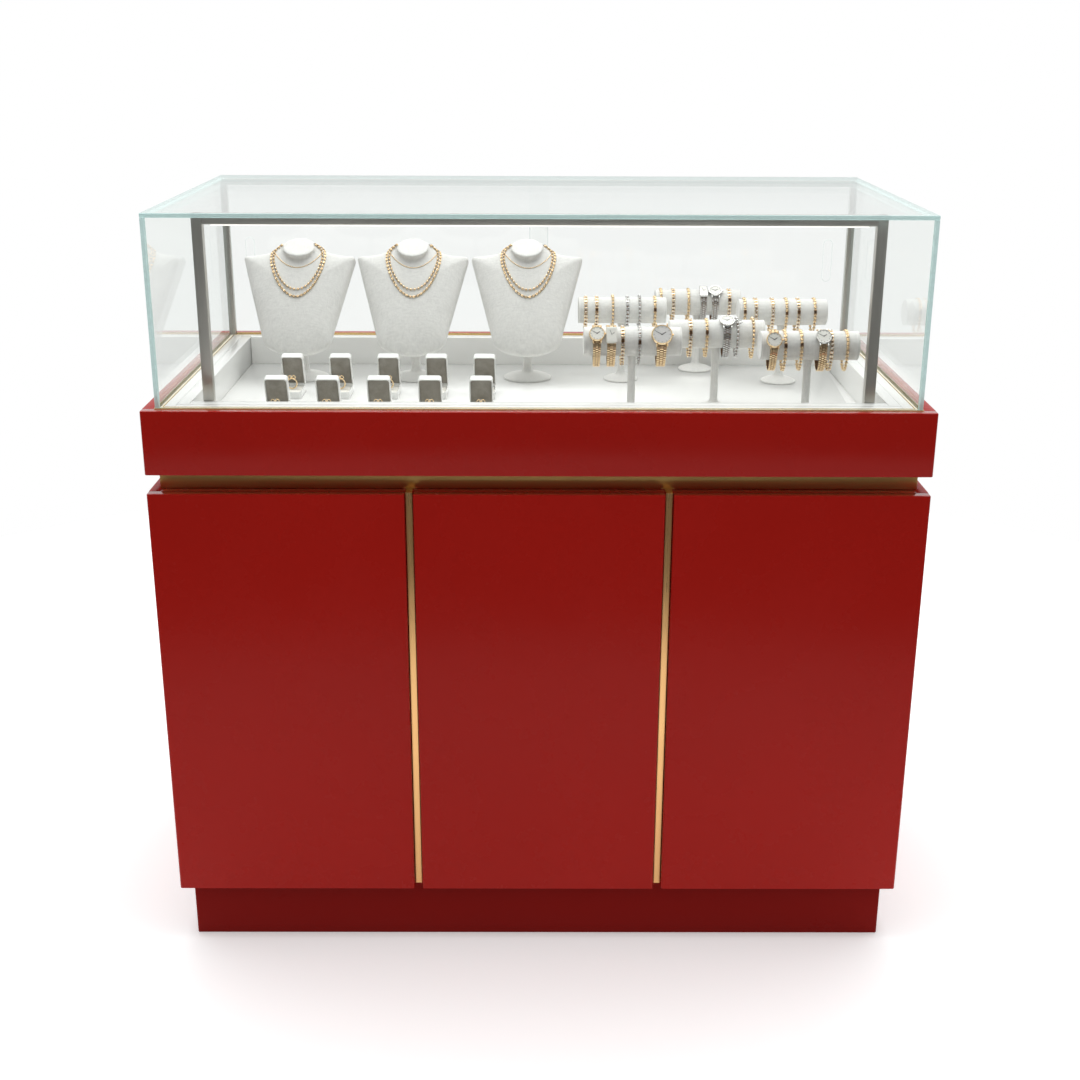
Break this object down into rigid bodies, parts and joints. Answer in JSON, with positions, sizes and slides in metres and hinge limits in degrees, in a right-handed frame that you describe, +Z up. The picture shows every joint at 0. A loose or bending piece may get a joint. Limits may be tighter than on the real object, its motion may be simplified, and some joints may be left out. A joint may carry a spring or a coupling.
{
  "type": "glass display showcase",
  "caption": "Freestanding jewellery counter: a glass hood over a sunk white display tray, on a panelled cabinet with gold trim, with rear sliding panes and storage doors.",
  "frame": {"origin": "centre of the footprint on the floor", "axes": "+Z up, -Y towards the customer, +Y towards the staff side, +X to the customer's right"},
  "size_m": [1.2, 0.63, 1.21],
  "materials": {
    "red_lacquer": "satin red lacquer on board",
    "white_lacquer": "satin white lacquer on board",
    "gold_trim": "brushed gold-coloured metal",
    "steel_frame": "brushed steel",
    "hood_glass": "clear float glass with polished edges",
    "gasket": "soft cream glazing strip",
    "light_cover": "frosted light cover",
    "driver_case": "moulded case",
    "lead": "flexible sheath",
    "switch_black": "moulded black",
    "switch_red": "moulded red",
    "linen": "white linen weave",
    "box_white": "white lacquer",
    "box_lining": "taupe velvet"
  },
  "bodies": {
    "root": {"plinth_rails": "red_lacquer", "plinth_ends": "red_lacquer", "carcass_boards": "white_lacquer", "side_panels": "red_lacquer", "centre_partition": "white_lacquer", "front_board": "red_lacquer", "front_panel_left": "red_lacquer", "front_panel_centre": "red_lacquer", "front_panel_right": "red_lacquer", "gold_strips": "gold_trim", "riser_board": "white_lacquer", "gold_band": "gold_trim", "shelves": "white_lacquer", "shelf_pins": "steel_frame", "hinge_frame_leaves": "steel_frame", "hinge_pins": "steel_frame", "deck_base": "white_lacquer", "band_front": "red_lacquer", "band_rear": "red_lacquer", "band_ends": "red_lacquer", "deck_border": "white_lacquer", "tray_walls": "white_lacquer", "tray_floor": "white_lacquer", "glass_channel": "gold_trim", "glazing_gasket": "gasket", "glass_front": "hood_glass", "glass_ends": "hood_glass", "glass_top": "hood_glass", "rear_posts": "steel_frame", "rear_top_track": "steel_frame", "rear_bottom_track": "gold_trim", "light_posts": "steel_frame", "light_bar": "steel_frame", "light_diffuser": "light_cover", "led_driver": "driver_case", "led_lead": "lead", "switch_body": "switch_black", "cable_grommet": "switch_black", "bust_forms": "linen", "bust_stands": "linen", "tbar_rolls": "linen", "tbar_stands": "linen", "ring_box_bases": "box_white", "ring_box_cushions": "box_lining", "ring_box_lids": "box_white"},
    "door_left": {"door_left": "red_lacquer", "hinge_leaves_left": "steel_frame", "pull_left": "gold_trim", "lock_barrel_left": "steel_frame"},
    "door_right": {"door_right": "red_lacquer", "hinge_leaves_right": "steel_frame", "pull_right": "gold_trim", "lock_barrel_right": "steel_frame"},
    "lock_left": {"lock_cam_left": "steel_frame"},
    "lock_right": {"lock_cam_right": "steel_frame"},
    "pane_left": {"glass_door_left": "hood_glass"},
    "pane_right": {"glass_door_right": "hood_glass"},
    "rocker": {"switch_rocker": "switch_red"}
  },
  "joints": [
    {"name": "door_left_hinge", "type": "hinge", "parent": "root", "child": "door_left", "pos_m": [-0.5805, 0.2922, 0.444], "axis": [0, 0, 1], "range_deg": [0, 110]},
    {"name": "door_right_hinge", "type": "hinge", "parent": "root", "child": "door_right", "pos_m": [0.5805, 0.2922, 0.444], "axis": [0, 0, -1], "range_deg": [0, 110]},
    {"name": "lock_left_turn", "type": "hinge", "parent": "door_left", "child": "lock_left", "pos_m": [-0.04, 0.288, 0.52], "axis": [0, -1, 0], "range_deg": [0, 90]},
    {"name": "lock_right_turn", "type": "hinge", "parent": "door_right", "child": "lock_right", "pos_m": [0.04, 0.288, 0.52], "axis": [0, 1, 0], "range_deg": [0, 90]},
    {"name": "pane_left_slide", "type": "slide", "parent": "root", "child": "pane_left", "axis": [1, 0, 0], "range_m": [0, 0.55]},
    {"name": "pane_right_slide", "type": "slide", "parent": "root", "child": "pane_right", "axis": [-1, 0, 0], "range_m": [0, 0.55]},
    {"name": "rocker_tilt", "type": "hinge", "parent": "root", "child": "rocker", "pos_m": [0.47, 0.31, 0.848], "axis": [-1, 0, 0], "range_deg": [0, 12]}
  ]
}
